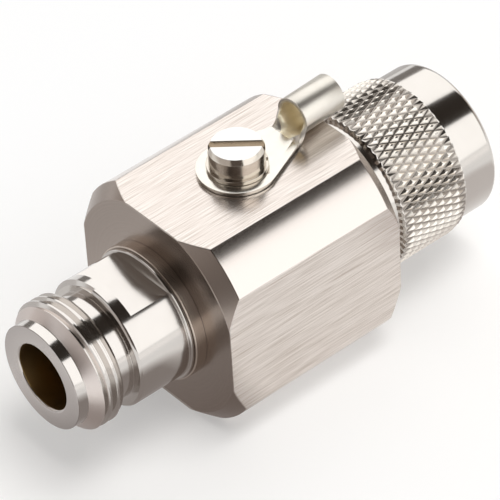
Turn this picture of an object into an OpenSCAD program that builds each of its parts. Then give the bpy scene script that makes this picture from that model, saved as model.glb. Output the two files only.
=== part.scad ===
// Coax lightning arrestor: a jack at one end, a plug with a turning nut at the other,
// a square body with a gas tube between them and a ground screw with a ring lug on top.
// Millimetres. X runs along the coax line toward the plug, Z runs up through the ground screw,
// and the origin is the middle of the bottom flat.

/* [Body] */
// Width across the milled flats
body_flats = 25; // [23:0.5:30]
// Width of each milled flat between the round corners
flat_width = 16.1; // [14:0.1:18]
// Length of the body along the line
body_length = 25; // [24:0.5:34]
// Turned chamfer round both ends
body_chamfer = 1.65; // [0.8:0.05:2.2]
// Diameter of the boss on the jack side
boss_diameter = 16.7; // [16.4:0.1:18]
// Height of that boss
boss_height = 1.5; // [1:0.1:2.5]
// Bore of the line chamber in the body
line_bore = 10; // [9.6:0.1:10.4]

/* [Jack] */
// Diameter of the plain pilot at the mouth
pilot_diameter = 12.8; // [11.5:0.1:13.6]
// Length of the pilot
pilot_length = 1.3; // [0.8:0.1:2.5]
// Length of the cone from the pilot to the thread
lead_length = 1.35; // [0.6:0.05:1.8]
// Coupling thread, outside diameter
thread_diameter = 15.7; // [15.5:0.05:15.9]
// Length of the coupling thread with its end chamfer
thread_length = 3; // [2.6:0.1:6]
// Chamfer where the thread runs out
thread_chamfer = 0.7; // [0.3:0.05:0.9]
// Diameter of the relief groove behind the thread
relief_diameter = 13; // [12:0.1:14]
// Length of the relief groove
relief_length = 2.05; // [0.8:0.05:2.5]
// Diameter of the collar
collar_diameter = 15.6; // [14.8:0.1:16]
// Length of the collar that carries the wrench flats
collar_length = 6.85; // [5.5:0.05:9]
// Width across the two wrench flats
wrench_flats = 12.5; // [12:0.1:13.5]
// Length of the round band left in front of the wrench flats
collar_band = 1.6; // [1:0.1:2.2]
// Diameter of the thin rim against the body
rim_diameter = 16.2; // [16:0.1:16.4]
// Thickness of that rim
rim_thickness = 0.5; // [0.3:0.05:0.9]
// Bore that takes the sleeve of the mating plug
jack_bore = 8.1; // [8.05:0.01:8.15]
// Depth of that bore
jack_bore_depth = 9.1; // [8.9:0.05:9.3]
// Rounding of the mouth
mouth_round = 0.35; // [0.15:0.05:0.6]
// How far the socket tip sits behind the mouth
socket_recess = 4.1; // [3.8:0.05:4.4]

/* [Line] */
// Bore of the outer conductor in jack and plug
outer_bore = 7; // [6.9:0.05:7.1]
// Diameter of the inner conductor in jack and plug
inner_diameter = 3.04; // [2.9:0.02:3.2]
// Diameter of the thick rod in the body
rod_diameter = 4.34; // [4.2:0.02:4.6]
// Diameter of the insulating beads
bead_diameter = 8.4; // [8:0.1:8.8]
// Length of the insulating beads
bead_length = 4; // [3:0.1:4.4]
// Diameter of the studs that join socket, rod and pin
stud_diameter = 2; // [1.8:0.05:2.2]
// Length of those studs
stud_length = 2.8; // [2:0.1:3.4]
// Depth that jack and plug shells reach into the body
spigot_depth = 4.5; // [4.3:0.1:5]
// Diameter of both spigots
spigot_diameter = 13; // [12.6:0.1:13.4]

/* [Plug] */
// Gap between the body and the nut
nut_gap = 0.7; // [0.5:0.05:1.2]
// Diameter of the plain band next to the body
near_band_diameter = 18.6; // [18:0.1:19]
// Length of that band
near_band_length = 2.65; // [2.4:0.05:4]
// Crest diameter of the knurl
knurl_diameter = 20.1; // [19.9:0.1:21]
// Depth of the knurl
knurl_depth = 0.4; // [0.25:0.05:0.45]
// Length of the knurl
knurl_length = 9.2; // [8:0.1:11]
// Grooves of each hand round the knurl
knurl_count = 64; // [48:4:80]
// Rows of diamonds along the knurl, an even number
knurl_rows = 8; // [6:2:10]
// Diameter of the smooth band at the open end
far_band_diameter = 18.6; // [18:0.1:19]
// Length of that band
far_band_length = 5.4; // [4:0.05:7]
// Rounding of the open end
nut_round = 0.7; // [0.3:0.05:0.8]
// Diameter of the neck the nut turns on
neck_diameter = 12; // [11.8:0.1:12.4]
// Outside diameter of the contact sleeve
sleeve_diameter = 8; // [7.9:0.02:8.04]
// How far the sleeve end sits inside the nut
sleeve_recess = 1.2; // [0.6:0.1:2]
// How far the sleeve stands out from its gasket
sleeve_reach = 9; // [8.8:0.05:9.2]
// Width of the spring slots in sleeve and socket
slot_width = 0.45; // [0.3:0.05:0.6]
// Thickness of the face gasket
gasket_thickness = 1.5; // [1:0.1:1.8]
// Pin shoulder behind the sleeve end
pin_shoulder = 5.5; // [5.3:0.05:5.8]
// Diameter of the pin tip
pin_diameter = 1.65; // [1.6:0.01:1.68]
// Pin tip behind the sleeve end
pin_recess = 0.6; // [0.2:0.1:1.2]

/* [Ground] */
// Ground screw thread diameter
screw_diameter = 4; // [3.5:0.1:4.2]
// Thread length inside the body
screw_reach = 5; // [4:0.1:5.4]
// Screw head diameter
head_diameter = 6.4; // [6:0.1:7]
// Screw head height
head_height = 2.65; // [2.2:0.05:3.2]
// Chamfer of the screw head
head_chamfer = 0.32; // [0.1:0.02:0.5]
// Width of the driver slot
driver_slot = 1.05; // [0.9:0.05:1.5]
// Depth of the driver slot
driver_depth = 1; // [0.8:0.05:1.5]
// Turn of the driver slot seen from above
driver_turn = -42; // [-90:1:90]
// Outside diameter of the lock washer
washer_diameter = 7; // [6.8:0.1:7.6]
// Thickness of the lock washer
washer_thickness = 0.5; // [0.4:0.05:0.9]
// Width of the split in the lock washer
washer_split = 0.5; // [0.3:0.05:0.9]
// Outside diameter of the lug ring
lug_ring = 9.3; // [8.5:0.1:10.5]
// Sheet thickness of the lug
lug_sheet = 0.55; // [0.5:0.05:0.8]
// Distance from the screw to the mouth of the barrel
lug_reach = 8.6; // [7.5:0.1:11]
// Outside diameter of the barrel
barrel_diameter = 4.6; // [4.4:0.1:5.2]
// Wall of the barrel
barrel_wall = 0.5; // [0.4:0.05:0.6]
// Length of the barrel
barrel_length = 5.9; // [4.5:0.1:8]
// Turn of the lug seen from above
lug_turn = 3; // [-15:1:15]

/* [Gas tube] */
// Gas tube diameter
tube_diameter = 8; // [7.6:0.1:8.2]
// Gas tube length
tube_length = 6; // [5.5:0.1:6.2]
// Thickness of the tube end caps
cap_thickness = 0.8; // [0.6:0.05:1]
// Depth of the flat on the rod that the tube stands on
rod_flat = 0.35; // [0.2:0.05:0.5]
// Height of the contact spring
spring_height = 0.6; // [0.4:0.05:0.8]
// Thread diameter of the tube plug
plug_thread = 10; // [9.6:0.1:10.4]
// Head diameter of the tube plug
plug_head = 12; // [11.6:0.1:12.6]
// Head thickness of the tube plug
plug_head_height = 1.2; // [0.9:0.05:1.4]
// Width of the coin slot
coin_slot = 1.6; // [1.2:0.1:2]
// Depth of the coin slot
coin_depth = 0.8; // [0.5:0.05:0.85]

/* [Fits] */
// Gap on each side between pieces that stay together
still_gap = 0.02; // [0.01:0.01:0.03]
// Gap on each side between pieces that turn
turn_gap = 0.06; // [0.04:0.01:0.08]
// Gap on each side of a screw in its clearance hole
hole_gap = 0.15; // [0.12:0.01:0.2]
// Gap under clamped faces of pieces that move apart
seat_gap = 0.02; // [0.01:0.01:0.03]
// Cord diameter of the three seal rings
seal_cord = 0.9; // [0.8:0.05:0.95]

/* [Hidden] */
$fn = 96;
nickel = [0.78, 0.75, 0.71];
tin = [0.85, 0.85, 0.84];
gold = [0.83, 0.68, 0.35];
white = [0.94, 0.93, 0.9];
rubber = [0.13, 0.13, 0.14];
over = 0.5;

// Body
axis_height = body_flats / 2;
body_end = body_length / 2;
bar_radius = sqrt(pow(body_flats, 2) + pow(flat_width, 2)) / 2;
spigot_end = body_end - spigot_depth;
seal_play = 0.2;
seal_groove = seal_cord + seal_play;

// Jack, stations counted from the body toward the mouth
boss_face = -body_end - boss_height;
rim_face = boss_face - rim_thickness;
collar_face = rim_face - collar_length;
thread_back = collar_face - relief_length;
thread_front = thread_back - thread_length;
pilot_face = thread_front - lead_length;
mouth = pilot_face - pilot_length;
collar_edge = 0.3;
rim_edge = 0.1;
jack_step = mouth + jack_bore_depth;
socket_tip = mouth + socket_recess;
pin_play = 0.05;
socket_bore = pin_diameter + pin_play;
socket_bore_depth = 6;
socket_slot_depth = 4.5;
socket_slots = 4;
stud_play = 0.2;
stud_hole = stud_length + stud_play;

// Plug, stations counted from the body toward the open end
nut_back = body_end + nut_gap;
knurl_back = nut_back + near_band_length;
knurl_front = knurl_back + knurl_length;
nut_front = knurl_front + far_band_length;
sleeve_end = nut_front - sleeve_recess;
gasket_face = sleeve_end - sleeve_reach;
neck_end = gasket_face - gasket_thickness;
web_gap = 0.2;
web_face = neck_end - web_gap;
thread_play = 0.15;
nut_bore = thread_diameter + thread_play;
nut_lead = 0.5;
nut_edge = 0.35;
flange_gap = 0.25;
flange_height = nut_gap - flange_gap;
flange_ledge = 0.9;
flange_diameter = spigot_diameter + 2 * flange_ledge;
ring_cord = 1;
ring_station = (nut_back + web_face) / 2;
ring_groove = 1.2 * ring_cord;
ring_groove_back = ring_station - ring_groove / 2;
ring_groove_front = ring_station + ring_groove / 2;
ring_open_turn = 24;
sleeve_slot_depth = 6.5;
sleeve_slots = 4;
sleeve_slot_start = sleeve_end - sleeve_slot_depth;
gasket_inset = 0.6;
pin_nose = 0.6 * pin_diameter;
pin_flat = 0.35 * pin_diameter;
knurl_root = knurl_diameter / 2 - knurl_depth;
knurl_overlap = 0.2;
knurl_core = knurl_root - knurl_overlap;
knurl_inside = knurl_core - knurl_overlap;

// Ground stack, heights above the origin
lug_bottom = body_flats + seat_gap;
washer_bottom = lug_bottom + lug_sheet + seat_gap;
head_bottom = washer_bottom + washer_thickness + seat_gap;
hole_spare = 0.6;
hole_depth = screw_reach + hole_spare;
drill_point = 0.3 * screw_diameter;
screw_point = 0.4;
screw_end = body_flats - screw_reach - head_bottom;
lug_hole = screw_diameter / 2 + hole_gap;
barrel_bore = barrel_diameter - 2 * barrel_wall;
barrel_step = 0.05;
barrel_lift = barrel_step + max(0, lug_sheet - barrel_wall);
barrel_height = barrel_lift + barrel_diameter / 2;
neck_step = 0.3;
neck_half = barrel_diameter / 2 - neck_step;
scoop_length = 0.9;
tongue_end = lug_reach - scoop_length / 2;

// Gas tube, distances from the line toward +Y
tube_start = rod_diameter / 2 - rod_flat + still_gap;
tube_end = tube_start + tube_length;
spring_end = tube_end + still_gap + spring_height;
plug_end = spring_end + still_gap;
plug_seat = axis_height - plug_head_height;
electrode_diameter = 4.2;
electrode_gap = 0.8;
ceramic_bore = 5.4;
spring_sheet = 0.25;
spring_inset = 0.4;
ceramic_start = tube_start + cap_thickness + still_gap;
ceramic_end = tube_end - cap_thickness - still_gap;

// Turns a shape made along Z so that it runs along the coax line
module on_line() {
    translate([0, 0, axis_height])
        rotate([0, 90, 0])
            children();
}

// Turns a shape made along Z so that it runs from the line toward +Y
module on_tube() {
    translate([0, 0, axis_height])
        rotate([-90, 0, 0])
            children();
}

// Plain cylinder from one station to another
module bar(d, from, to) {
    translate([0, 0, from])
        cylinder(d = d, h = to - from);
}

// Ring of round cord
module cord_ring(mean, cord, angle = 360) {
    rotate_extrude(angle = angle)
        translate([mean, 0])
            circle(d = cord);
}

// Crossed slots that make spring fingers
module finger_slots(reach, from, to, count) {
    for (i = [0:count / 2 - 1])
        translate([0, 0, (from + to) / 2])
            rotate([0, 0, 45 + i * 360 / count])
                cube([2 * reach, slot_width, to - from], center = true);
}

module body_block() {
    color(nickel)
        difference() {
            union() {
                intersection() {
                    translate([-body_end, -axis_height, 0])
                        cube([body_length, body_flats, body_flats]);
                    on_line()
                        rotate_extrude()
                            polygon([
                                [0, -body_end], [bar_radius - body_chamfer, -body_end],
                                [bar_radius, body_chamfer - body_end],
                                [bar_radius, body_end - body_chamfer],
                                [bar_radius - body_chamfer, body_end], [0, body_end]
                            ]);
                }
                on_line()
                    bar(boss_diameter, boss_face, 0);
            }
            on_line() {
                bar(line_bore, -body_end, body_end);
                bar(spigot_diameter + 2 * still_gap, boss_face - over, -spigot_end);
                bar(spigot_diameter + 2 * still_gap, spigot_end, body_end + over);
            }
            on_tube() {
                bar(tube_diameter + 4 * hole_gap, 0, plug_end);
                bar(plug_thread + 2 * turn_gap, plug_end - 2 * still_gap, axis_height + over);
                bar(plug_head + 2 * hole_gap, plug_seat - seat_gap, axis_height + over);
            }
            translate([0, 0, body_flats - hole_depth]) {
                cylinder(d = screw_diameter + 2 * turn_gap, h = hole_depth + over);
                mirror([0, 0, 1])
                    cylinder(d1 = screw_diameter + 2 * turn_gap, d2 = 0, h = drill_point);
            }
        }
}

module jack_shell() {
    color(nickel)
        on_line()
            difference() {
                rotate_extrude()
                    polygon([
                        [0, mouth], [pilot_diameter / 2, mouth], [pilot_diameter / 2, pilot_face],
                        [thread_diameter / 2, thread_front],
                        [thread_diameter / 2, thread_back - thread_chamfer],
                        [thread_diameter / 2 - thread_chamfer, thread_back],
                        [relief_diameter / 2, thread_back], [relief_diameter / 2, collar_face],
                        [collar_diameter / 2 - collar_edge, collar_face],
                        [collar_diameter / 2, collar_face + collar_edge],
                        [collar_diameter / 2, rim_face], [rim_diameter / 2 - rim_edge, rim_face],
                        [rim_diameter / 2, rim_face + rim_edge], [rim_diameter / 2, boss_face - rim_edge],
                        [rim_diameter / 2 - rim_edge, boss_face], [spigot_diameter / 2, boss_face],
                        [spigot_diameter / 2, -spigot_end], [0, -spigot_end]
                    ]);
                // Mouth with its rounded edge
                rotate_extrude()
                    difference() {
                        translate([0, mouth - over])
                            square([jack_bore / 2 + mouth_round, over + mouth_round]);
                        translate([jack_bore / 2 + mouth_round, mouth + mouth_round])
                            circle(r = mouth_round);
                    }
                bar(jack_bore, mouth, jack_step);
                bar(outer_bore, mouth, -spigot_end + over);
                bar(bead_diameter + 2 * still_gap, -spigot_end - bead_length, -spigot_end + over);
                // Seal groove
                difference() {
                    bar(spigot_diameter + over, -body_end - seal_groove, -body_end);
                    bar(spigot_diameter - 2 * seal_cord, -body_end - 2 * seal_groove, over - body_end);
                }
                // Wrench flats above and below, between the round band and the rim
                for (side = [0, 180])
                    rotate([0, 0, side])
                        translate([wrench_flats / 2, -collar_diameter, collar_face + collar_band])
                            cube([collar_diameter, 2 * collar_diameter, collar_length - collar_band]);
            }
}

module jack_seal() {
    color(rubber)
        on_line()
            translate([0, 0, -body_end - seal_groove / 2])
                cord_ring((spigot_diameter - seal_cord) / 2, seal_cord - 2 * still_gap);
}

module bead() {
    difference() {
        bar(bead_diameter, spigot_end, spigot_end + bead_length - still_gap);
        bar(inner_diameter + 2 * still_gap, 0, body_length);
    }
}

module jack_bead() {
    color(white)
        on_line()
            mirror([0, 0, 1])
                bead();
}

module jack_socket() {
    color(gold)
        on_line()
            difference() {
                union() {
                    bar(inner_diameter, socket_tip, -spigot_end);
                    bar(stud_diameter, -spigot_end - over, -spigot_end + stud_length);
                }
                bar(socket_bore, socket_tip - over, socket_tip + socket_bore_depth);
                finger_slots(inner_diameter, socket_tip - over, socket_tip + socket_slot_depth, socket_slots);
            }
}

module line_rod() {
    color(gold)
        difference() {
            on_line()
                difference() {
                    bar(rod_diameter, still_gap - spigot_end, spigot_end - still_gap);
                    for (side = [0, 1])
                        mirror([0, 0, side])
                            bar(stud_diameter + 2 * still_gap, spigot_end - stud_hole, spigot_end + over);
                }
            translate([-tube_diameter / 2, rod_diameter / 2 - rod_flat, 0])
                cube([tube_diameter, rod_diameter, body_flats]);
        }
}

module plug_pin() {
    tip = sleeve_end - pin_recess;
    shoulder = sleeve_end - pin_shoulder;
    color(gold)
        on_line() {
            bar(stud_diameter, spigot_end - stud_length, spigot_end + over);
            bar(inner_diameter, spigot_end, shoulder);
            bar(pin_diameter, shoulder - over, tip - pin_nose);
            translate([0, 0, tip - pin_nose])
                cylinder(d1 = pin_diameter, d2 = pin_flat, h = pin_nose);
        }
}

module plug_bead() {
    color(white)
        on_line()
            bead();
}

module plug_shell() {
    color(nickel)
        on_line()
            difference() {
                union() {
                    bar(spigot_diameter, spigot_end, body_end + over);
                    bar(flange_diameter, body_end, body_end + flange_height);
                    bar(neck_diameter, body_end, neck_end);
                    bar(sleeve_diameter, body_end, sleeve_end);
                }
                bar(outer_bore, spigot_end - over, sleeve_end + over);
                bar(bead_diameter + 2 * still_gap, spigot_end - over, spigot_end + bead_length);
                // Seal groove
                difference() {
                    bar(spigot_diameter + over, body_end - 2 * seal_groove, body_end - seal_groove);
                    bar(spigot_diameter - 2 * seal_cord, 0, body_end);
                }
                // Groove for the ring that keeps the nut on
                difference() {
                    bar(neck_diameter + over, ring_groove_back, ring_groove_front);
                    bar(neck_diameter - ring_groove, 0, neck_end);
                }
                finger_slots(sleeve_diameter, sleeve_slot_start, sleeve_end + over, sleeve_slots);
            }
}

module plug_seal() {
    color(rubber)
        on_line()
            translate([0, 0, body_end - 1.5 * seal_groove])
                cord_ring((spigot_diameter - seal_cord) / 2, seal_cord - 2 * still_gap);
}

module nut_ring() {
    color(gold)
        on_line()
            translate([0, 0, ring_station])
                rotate([0, 0, ring_open_turn / 2])
                    cord_ring(neck_diameter / 2, ring_cord, 360 - ring_open_turn);
}

module face_gasket() {
    color(rubber)
        on_line()
            difference() {
                bar(thread_diameter - 2 * gasket_inset, neck_end + still_gap, gasket_face);
                bar(sleeve_diameter + 2 * still_gap, 0, nut_front);
            }
}

// Sleeve of diamonds: apex and corner points of each row, joined as four-sided pyramids
module knurl_sleeve() {
    pitch = 360 / knurl_count;
    row = knurl_length / knurl_rows;
    last = knurl_count * (knurl_rows + 1);
    corners = [
        for (j = [0:knurl_rows], i = [0:knurl_count - 1])
            let (a = (i + (j % 2) / 2) * pitch)
                [knurl_root * cos(a), knurl_root * sin(a), j * row]
    ];
    peaks = [
        for (j = [0:knurl_rows], i = [0:knurl_count - 1])
            let (a = (i + ((j + 1) % 2) / 2) * pitch)
                [knurl_diameter / 2 * cos(a), knurl_diameter / 2 * sin(a), j * row]
    ];
    inside = [
        for (j = [0, 1], i = [0:knurl_count - 1])
            [knurl_inside * cos(i * pitch), knurl_inside * sin(i * pitch), j * knurl_length]
    ];
    function corner(j, i) = j * knurl_count + (i + knurl_count) % knurl_count;
    function peak(j, i) = last + corner(j, i);
    function inner(j, i) = 2 * last + corner(j, i);
    // Corner after and before a peak in its own row
    function after(j, i) = corner(j, i + 1 - j % 2);
    function before(j, i) = corner(j, i - j % 2);
    sides = [
        for (j = [0:knurl_rows], i = [0:knurl_count - 1])
            each concat(
                j < knurl_rows
                    ? [
                        [peak(j, i), corner(j + 1, i), after(j, i)],
                        [peak(j, i), before(j, i), corner(j + 1, i)]
                    ]
                    : [],
                j > 0
                    ? [
                        [peak(j, i), after(j, i), corner(j - 1, i)],
                        [peak(j, i), corner(j - 1, i), before(j, i)]
                    ]
                    : []
            )
    ];
    ends = [
        for (i = [0:knurl_count - 1])
            each [
                [inner(0, i), peak(0, i), inner(0, i + 1)],
                [inner(0, i), corner(0, i), peak(0, i)],
                [inner(0, i + 1), peak(0, i), corner(0, i + 1)],
                [inner(1, i + 1), peak(knurl_rows, i), inner(1, i)],
                [peak(knurl_rows, i), corner(knurl_rows, i), inner(1, i)],
                [corner(knurl_rows, i + 1), peak(knurl_rows, i), inner(1, i + 1)],
                [inner(0, i + 1), inner(1, i), inner(0, i)],
                [inner(0, i + 1), inner(1, i + 1), inner(1, i)]
            ]
    ];
    polyhedron(points = concat(corners, peaks, inside), faces = concat(sides, ends));
}

module coupling_nut() {
    near_r = near_band_diameter / 2;
    far_r = far_band_diameter / 2;
    color(nickel)
        on_line()
            difference() {
                union() {
                    rotate_extrude()
                        difference() {
                            polygon([
                                [0, nut_back], [near_r - nut_edge, nut_back],
                                [near_r, nut_back + nut_edge], [near_r, knurl_back],
                                [knurl_core, knurl_back], [knurl_core, knurl_front],
                                [far_r, knurl_front], [far_r, nut_front], [0, nut_front]
                            ]);
                            // Rounded open end
                            difference() {
                                translate([far_r - nut_round, nut_front - nut_round])
                                    square(2 * nut_round);
                                translate([far_r - nut_round, nut_front - nut_round])
                                    circle(r = nut_round);
                            }
                        }
                    translate([0, 0, knurl_back])
                        knurl_sleeve();
                }
                bar(neck_diameter + 2 * turn_gap, nut_back - over, nut_front);
                bar(nut_bore, web_face, nut_front + over);
                translate([0, 0, nut_front - nut_lead])
                    cylinder(d1 = nut_bore, d2 = nut_bore + 2 * (nut_lead + over), h = nut_lead + over);
                bar(neck_diameter + ring_groove, ring_groove_back, ring_groove_front);
            }
}

module ring_lug() {
    color(tin)
        translate([0, 0, lug_bottom])
            rotate([0, 0, lug_turn])
                difference() {
                    union() {
                        linear_extrude(lug_sheet)
                            lug_outline();
                        lug_barrel();
                    }
                    translate([0, 0, -over])
                        cylinder(r = lug_hole, h = lug_sheet + 2 * over);
                    translate([lug_reach - 2 * scoop_length, 0, barrel_height])
                        rotate([0, 90, 0])
                            cylinder(d = barrel_bore, h = barrel_length + 4 * scoop_length);
                }
}

// Rolled barrel whose lower half reaches out to the tongue
module lug_barrel() {
    difference() {
        translate([lug_reach - scoop_length, 0, barrel_height])
            rotate([0, 90, 0])
                cylinder(d = barrel_diameter, h = barrel_length + scoop_length);
        translate([0, barrel_diameter, 0])
            rotate([90, 0, 0])
                linear_extrude(2 * barrel_diameter)
                    polygon([
                        [lug_reach - 2 * scoop_length, lug_sheet], [lug_reach - scoop_length, lug_sheet],
                        [lug_reach, barrel_height], [lug_reach, 2 * barrel_diameter],
                        [lug_reach - 2 * scoop_length, 2 * barrel_diameter]
                    ]);
    }
}

// Ring with a tongue whose sides leave it as tangents
module lug_outline() {
    r = lug_ring / 2;
    lean = asin((r - neck_half) / tongue_end);
    circle(d = lug_ring);
    polygon([
        [r * sin(lean), -r * cos(lean)], [tongue_end, -neck_half],
        [tongue_end, neck_half], [r * sin(lean), r * cos(lean)]
    ]);
}

module lock_washer() {
    gap_angle = 2 * asin(washer_split / washer_diameter);
    color(nickel)
        translate([0, 0, washer_bottom])
            rotate([0, 0, driver_turn + gap_angle / 2])
                rotate_extrude(angle = 360 - gap_angle)
                    translate([lug_hole, 0])
                        square([washer_diameter / 2 - lug_hole, washer_thickness]);
}

module ground_screw() {
    color(nickel)
        translate([0, 0, head_bottom])
            difference() {
                rotate_extrude()
                    polygon([
                        [0, screw_end], [screw_diameter / 2 - screw_point, screw_end],
                        [screw_diameter / 2, screw_end + screw_point],
                        [screw_diameter / 2, 0], [head_diameter / 2, 0],
                        [head_diameter / 2, head_height - 2 * head_chamfer],
                        [head_diameter / 2 - head_chamfer, head_height], [0, head_height]
                    ]);
                rotate([0, 0, driver_turn])
                    translate([-head_diameter, -driver_slot / 2, head_height - driver_depth])
                        cube([2 * head_diameter, driver_slot, driver_depth + over]);
            }
}

module tube_ceramic() {
    color(white)
        on_tube()
            difference() {
                bar(tube_diameter, ceramic_start, ceramic_end);
                bar(ceramic_bore, 0, axis_height);
            }
}

// End cap with the electrode that stands in from it
module tube_cap() {
    bar(tube_diameter, tube_start, tube_start + cap_thickness);
    bar(electrode_diameter, tube_start, tube_start + (tube_length - electrode_gap) / 2);
}

module tube_inner_cap() {
    color(tin)
        on_tube()
            tube_cap();
}

module tube_outer_cap() {
    color(tin)
        on_tube()
            translate([0, 0, tube_start + tube_end])
                mirror([0, 0, 1])
                    tube_cap();
}

// Dished spring between the tube and its plug
module tube_spring() {
    wide = tube_diameter / 2 - spring_inset;
    narrow = tube_diameter / 4;
    color(gold)
        on_tube()
            translate([0, 0, tube_end + still_gap])
                rotate_extrude()
                    polygon([
                        [wide, 0], [wide, spring_sheet],
                        [narrow, spring_height], [narrow, spring_height - spring_sheet]
                    ]);
}

module tube_plug() {
    color(nickel)
        on_tube()
            difference() {
                union() {
                    bar(plug_thread, plug_end, plug_seat + over);
                    bar(plug_head, plug_seat, axis_height - seat_gap);
                }
                difference() {
                    bar(plug_thread + over, plug_seat - seal_groove, plug_seat);
                    bar(plug_thread - 2 * seal_cord, 0, body_flats);
                }
                translate([-plug_head, -coin_slot / 2, axis_height - seat_gap - coin_depth])
                    cube([2 * plug_head, coin_slot, coin_depth + over]);
            }
}

module tube_plug_seal() {
    color(rubber)
        on_tube()
            translate([0, 0, plug_seat - seal_groove / 2])
                cord_ring((plug_thread - seal_cord) / 2, seal_cord - 2 * still_gap);
}

body_block();
jack_shell();
jack_seal();
jack_bead();
jack_socket();
line_rod();
plug_pin();
plug_bead();
plug_shell();
plug_seal();
nut_ring();
face_gasket();
coupling_nut();
ring_lug();
lock_washer();
ground_screw();
tube_ceramic();
tube_inner_cap();
tube_outer_cap();
tube_spring();
tube_plug();
tube_plug_seal();
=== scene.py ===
import bpy
import math
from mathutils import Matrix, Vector


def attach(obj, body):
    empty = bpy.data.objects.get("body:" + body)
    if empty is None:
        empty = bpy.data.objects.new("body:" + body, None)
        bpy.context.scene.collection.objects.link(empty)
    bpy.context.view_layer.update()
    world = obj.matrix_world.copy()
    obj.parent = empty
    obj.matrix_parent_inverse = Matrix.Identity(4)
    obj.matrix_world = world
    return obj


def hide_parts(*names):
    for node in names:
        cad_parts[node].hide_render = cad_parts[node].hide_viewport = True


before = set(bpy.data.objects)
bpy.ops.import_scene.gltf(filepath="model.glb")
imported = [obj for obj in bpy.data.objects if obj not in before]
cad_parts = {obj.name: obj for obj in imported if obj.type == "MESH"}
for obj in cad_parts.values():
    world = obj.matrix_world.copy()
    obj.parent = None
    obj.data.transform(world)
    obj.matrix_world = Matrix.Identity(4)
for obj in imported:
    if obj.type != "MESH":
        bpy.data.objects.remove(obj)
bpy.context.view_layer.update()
mm = 0.001
weld = 0.001 * mm                         # points closer than this are one point
lineHeight = 12.5                         # coax line over the bottom flat, in millimetres
bpy.ops.object.select_all(action="DESELECT")
print("frame loaded,", len(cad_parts), "nodes")

# the three lines that pieces are turned about, in millimetres
alongX = Vector((1, 0, 0))
alongY = Vector((0, 1, 0))
alongZ = Vector((0, 0, 1))
coaxCentre = alongZ * lineHeight
turningLines = {
    "coax": {"along": alongX, "out": alongZ, "centre": coaxCentre, "axis": "X"},
    "screw": {"along": alongZ, "out": alongX, "centre": Vector((0, 0, 0)), "axis": "Z"},
    "tube": {"along": alongY, "out": alongZ, "centre": coaxCentre, "axis": "Y"},
}


def pick(obj):
    bpy.ops.object.select_all(action="DESELECT")
    obj.select_set(True)
    bpy.context.view_layer.objects.active = obj


def named(name):
    obj = bpy.context.object
    obj.name = name
    obj.data.name = name
    return obj


def settle(obj):                          # place, turn and size go into the mesh
    pick(obj)
    bpy.ops.object.transform_apply(location=True, rotation=True, scale=True)
    return obj


def pullOutline(spots):                   # one vertex pulled from spot to spot
    bpy.ops.object.mode_set(mode="EDIT")
    bpy.ops.mesh.select_mode(type="VERT")
    bpy.ops.mesh.select_all(action="SELECT")
    bpy.ops.mesh.merge(type="CENTER")
    for here, there in zip(spots, spots[1:]):
        bpy.ops.mesh.extrude_vertices_move(TRANSFORM_OT_translate={"value": there - here})
    bpy.ops.mesh.select_all(action="SELECT")
    bpy.ops.mesh.remove_doubles(threshold=weld)


def pickPoints(obj, chosen):              # goes into edit mode with these points picked
    pick(obj)
    bpy.ops.object.mode_set(mode="EDIT")
    bpy.ops.mesh.select_mode(type="VERT")
    bpy.ops.mesh.select_all(action="DESELECT")
    bpy.ops.object.mode_set(mode="OBJECT")
    for v, yes in zip(obj.data.vertices, chosen):
        v.select = yes
    bpy.ops.object.mode_set(mode="EDIT")


def faceOut():                            # closes seams and leaves edit mode
    bpy.ops.mesh.select_all(action="SELECT")
    bpy.ops.mesh.remove_doubles(threshold=weld)
    bpy.ops.mesh.normals_make_consistent(inside=False)
    bpy.ops.object.mode_set(mode="OBJECT")


def roundedEdge(end, side, radius, steps):       # quarter round of an outline, from its side to its end
    turns = [math.radians(90 * k / steps) for k in range(steps + 1)]
    return [(end + radius * (1 - math.sin(a)), side + radius * (1 - math.cos(a))) for a in turns]


def turned(name, outline, line, steps=144, sweep=360.0):
    way = turningLines[line]
    spots = [(way["centre"] + way["along"] * a + way["out"] * r) * mm for a, r in outline]
    bpy.ops.object.select_all(action="DESELECT")
    bpy.ops.mesh.primitive_plane_add(size=mm, location=spots[0])
    obj = settle(named(name))
    pullOutline(spots)
    bpy.ops.mesh.select_all(action="SELECT")
    bpy.ops.mesh.spin(steps=steps, angle=math.radians(sweep), center=way["centre"] * mm, axis=way["along"])
    if sweep < 360:
        bpy.ops.mesh.select_all(action="SELECT")
        bpy.ops.mesh.fill_holes(sides=0)
    faceOut()
    return obj


def softenEdges(obj, width, angle):
    pick(obj)
    bpy.ops.object.modifier_add(type="BEVEL")
    step = obj.modifiers[-1]
    step.width = width * mm
    step.segments = 2
    step.limit_method = "ANGLE"
    step.angle_limit = math.radians(angle)
    bpy.ops.object.modifier_apply(modifier=step.name)


def combine(obj, tool, how="DIFFERENCE"):
    pick(obj)
    bpy.ops.object.modifier_add(type="BOOLEAN")
    step = obj.modifiers[-1]
    step.operation = how
    step.solver = "EXACT"
    step.object = tool
    bpy.ops.object.modifier_apply(modifier=step.name)
    pick(tool)
    bpy.ops.object.delete()
    pick(obj)


def block(low, high, turn=0.0):           # box tool, turned about the Z axis
    low, high = Vector(low) * mm, Vector(high) * mm
    bpy.ops.object.select_all(action="DESELECT")
    bpy.ops.mesh.primitive_cube_add(size=1, location=(low + high) / 2)
    obj = named("blockTool")
    obj.scale = high - low
    settle(obj)
    obj.rotation_euler = (0, 0, math.radians(turn))
    return settle(obj)


threadForm = {"flank": 30.0, "widest": 0.47}     # half angle of the V, most half width in pitches


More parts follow.
